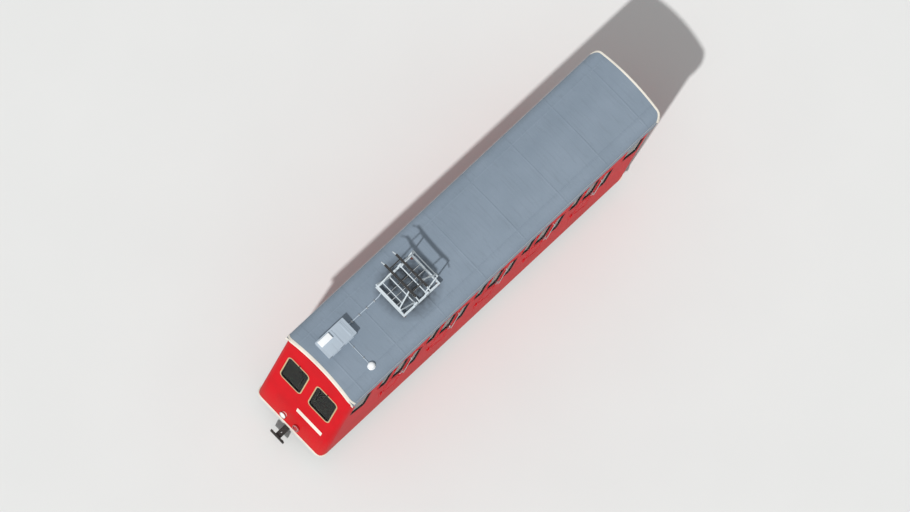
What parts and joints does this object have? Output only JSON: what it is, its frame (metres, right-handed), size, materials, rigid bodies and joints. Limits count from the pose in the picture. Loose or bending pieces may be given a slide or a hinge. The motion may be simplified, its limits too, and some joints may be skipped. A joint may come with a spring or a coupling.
{
  "type": "inclined mountain railcar",
  "caption": "Electric rack railcar with a stepped, leaning body for steep mountain lines, with swing doors, wooden benches, cabs, a pantograph and rack pinions.",
  "frame": {"origin": "centre of the whole car's outline in plan, at the lowest point of the wheel flanges", "axes": "+X uphill along the track, +Y to the left of a rider who looks uphill, +Z square to the rails; upright on the slope leans from +Z towards +X by 25 degrees"},
  "size_m": [11.6266, 2.304, 4.5908],
  "materials": {
    "red_paint": "gloss, dust-dulled",
    "roof_paint": "satin blue-grey",
    "horn_metal": "satin",
    "window_glass": "clear",
    "floor_rubber": "ribbed matt",
    "panel_laminate": "satin laminate",
    "bench_wood": "varnished slats",
    "desk_plastic": "matt",
    "stool_cover": "matt",
    "frame_paint": "matt black",
    "spring_steel": "oiled",
    "wheel_steel": "worn tread",
    "gear_steel": "greased",
    "drive_paint": "semi gloss",
    "brake_iron": "cast",
    "lamp_white": "lens",
    "lamp_red": "lens",
    "pantograph_paint": "satin",
    "contact_metal": "worn",
    "insulator_ceramic": "glazed brown"
  },
  "bodies": {
    "car_body": {"axle_boxes": "frame_paint", "benches": "bench_wood", "brake_drum": "brake_iron", "brake_gearbox": "drive_paint", "control_desks": "desk_plastic", "cross_members": "frame_paint", "door_surrounds_left": "red_paint", "door_surrounds_right": "red_paint", "draw_gear_hill": "frame_paint", "draw_gear_valley": "frame_paint", "drive_gearbox": "drive_paint", "drive_motor": "drive_paint", "driver_stools": "stool_cover", "end_glass_hill": "window_glass", "end_glass_valley": "window_glass", "end_wall_hill": "red_paint", "end_wall_valley": "red_paint", "floor_stringers": "frame_paint", "floor_treads": "floor_rubber", "head_lamps": "lamp_white", "headstocks": "frame_paint", "leaf_springs": "spring_steel", "pantograph_base": "pantograph_paint", "pantograph_insulators": "insulator_ceramic", "partitions": "panel_laminate", "rail_guards": "frame_paint", "roof": "roof_paint", "roof_case": "roof_paint", "roof_horn": "horn_metal", "side_glass_left": "window_glass", "side_glass_right": "window_glass", "side_panels_left": "red_paint", "side_panels_right": "red_paint", "solebars": "frame_paint", "tail_lamps": "lamp_red"},
    "wheelset_valley": {"wheelset_valley": "wheel_steel"},
    "wheelset_hill": {"wheelset_hill": "wheel_steel"},
    "pinion_hill_left": {"pinion_hill_left": "gear_steel"},
    "pinion_hill_right": {"pinion_hill_right": "gear_steel"},
    "pinion_valley_left": {"pinion_valley_left": "gear_steel"},
    "pinion_valley_right": {"pinion_valley_right": "gear_steel"},
    "pan_lower_valley": {"pantograph_lower_valley": "pantograph_paint"},
    "pan_lower_hill": {"pantograph_lower_hill": "pantograph_paint"},
    "pan_upper_valley": {"pantograph_upper_valley": "pantograph_paint"},
    "pan_upper_hill": {"pantograph_upper_hill": "pantograph_paint"},
    "pan_head": {"pantograph_head": "contact_metal"},
    "door_left_1": {"door_left_1": "red_paint"},
    "door_left_2": {"door_left_2": "red_paint"},
    "door_left_3": {"door_left_3": "red_paint"},
    "door_left_4": {"door_left_4": "red_paint"},
    "door_left_5": {"door_left_5": "red_paint"},
    "door_right_1": {"door_right_1": "red_paint"},
    "door_right_2": {"door_right_2": "red_paint"},
    "door_right_3": {"door_right_3": "red_paint"},
    "door_right_4": {"door_right_4": "red_paint"},
    "door_right_5": {"door_right_5": "red_paint"}
  },
  "joints": [
    {"name": "wheelset_valley_roll", "type": "hinge", "parent": "car_body", "child": "wheelset_valley", "pos_m": [-2.8, 0, 0.325], "axis": [0, 1, 0], "continuous": true},
    {"name": "wheelset_hill_roll", "type": "hinge", "parent": "car_body", "child": "wheelset_hill", "pos_m": [2.8, 0, 0.325], "axis": [0, 1, 0], "continuous": true},
    {"name": "pinion_hill_left_turn", "type": "hinge", "parent": "car_body", "child": "pinion_hill_left", "pos_m": [2.15, 0.25, 0.13], "axis": [0, 0, 1], "continuous": true},
    {"name": "pinion_hill_right_turn", "type": "hinge", "parent": "car_body", "child": "pinion_hill_right", "pos_m": [2.15, -0.25, 0.13], "axis": [0, 0, 1], "continuous": true},
    {"name": "pinion_valley_left_turn", "type": "hinge", "parent": "car_body", "child": "pinion_valley_left", "pos_m": [-2.15, 0.25, 0.13], "axis": [0, 0, 1], "continuous": true},
    {"name": "pinion_valley_right_turn", "type": "hinge", "parent": "car_body", "child": "pinion_valley_right", "pos_m": [-2.15, -0.25, 0.13], "axis": [0, 0, 1], "continuous": true},
    {"name": "door_left_1_swing", "type": "hinge", "parent": "car_body", "child": "door_left_1", "pos_m": [-3.42429, 1.122, 1.45329], "axis": [0.4226, 0, 0.9063], "range_deg": [0, 85]},
    {"name": "door_left_2_swing", "type": "hinge", "parent": "car_body", "child": "door_left_2", "pos_m": [-1.88429, 1.122, 1.45329], "axis": [0.4226, 0, 0.9063], "range_deg": [0, 85]},
    {"name": "door_left_3_swing", "type": "hinge", "parent": "car_body", "child": "door_left_3", "pos_m": [-0.34429, 1.122, 1.45329], "axis": [0.4226, 0, 0.9063], "range_deg": [0, 85]},
    {"name": "door_left_4_swing", "type": "hinge", "parent": "car_body", "child": "door_left_4", "pos_m": [1.19571, 1.122, 1.45329], "axis": [0.4226, 0, 0.9063], "range_deg": [0, 85]},
    {"name": "door_left_5_swing", "type": "hinge", "parent": "car_body", "child": "door_left_5", "pos_m": [2.73571, 1.122, 1.45329], "axis": [0.4226, 0, 0.9063], "range_deg": [0, 85]},
    {"name": "door_right_1_swing", "type": "hinge", "parent": "car_body", "child": "door_right_1", "pos_m": [-3.42429, -1.122, 1.45329], "axis": [-0.4226, 0, -0.9063], "range_deg": [0, 85]},
    {"name": "door_right_2_swing", "type": "hinge", "parent": "car_body", "child": "door_right_2", "pos_m": [-1.88429, -1.122, 1.45329], "axis": [-0.4226, 0, -0.9063], "range_deg": [0, 85]},
    {"name": "door_right_3_swing", "type": "hinge", "parent": "car_body", "child": "door_right_3", "pos_m": [-0.34429, -1.122, 1.45329], "axis": [-0.4226, 0, -0.9063], "range_deg": [0, 85]},
    {"name": "door_right_4_swing", "type": "hinge", "parent": "car_body", "child": "door_right_4", "pos_m": [1.19571, -1.122, 1.45329], "axis": [-0.4226, 0, -0.9063], "range_deg": [0, 85]},
    {"name": "door_right_5_swing", "type": "hinge", "parent": "car_body", "child": "door_right_5", "pos_m": [2.73571, -1.122, 1.45329], "axis": [-0.4226, 0, -0.9063], "range_deg": [0, 85]},
    {"name": "pantograph_raise", "type": "hinge", "parent": "car_body", "child": "pan_lower_valley", "pos_m": [-1.57706, 0, 3.49], "axis": [0, 1, 0], "range_deg": [-43.5, 8]},
    {"name": "pantograph_lower_hill_turn", "type": "hinge", "parent": "car_body", "child": "pan_lower_hill", "pos_m": [-1.21705, 0, 3.49], "axis": [0, 1, 0], "range_deg": [-8, 43.5]},
    {"name": "pantograph_elbow_valley", "type": "hinge", "parent": "pan_lower_valley", "child": "pan_upper_valley", "pos_m": [-1.98205, 0, 3.9984], "axis": [0, 1, 0], "range_deg": [-16, 87]},
    {"name": "pantograph_elbow_hill", "type": "hinge", "parent": "pan_lower_hill", "child": "pan_upper_hill", "pos_m": [-0.81205, 0, 3.9984], "axis": [0, 1, 0], "range_deg": [-87, 16]},
    {"name": "pantograph_head_level", "type": "hinge", "parent": "pan_upper_valley", "child": "pan_head", "pos_m": [-1.57706, 0, 4.50681], "axis": [0, 1, 0], "range_deg": [-43.5, 8]}
  ],
  "couplings": [
    {"joint": "pinion_hill_right_turn", "follows": "pinion_hill_left_turn", "ratio": -1},
    {"joint": "pinion_valley_right_turn", "follows": "pinion_valley_left_turn", "ratio": -1},
    {"joint": "pantograph_lower_hill_turn", "follows": "pantograph_raise", "ratio": -1},
    {"joint": "pantograph_elbow_valley", "follows": "pantograph_raise", "ratio": -2},
    {"joint": "pantograph_elbow_hill", "follows": "pantograph_raise", "ratio": 2},
    {"joint": "pantograph_head_level", "follows": "pantograph_raise", "ratio": 1}
  ]
}
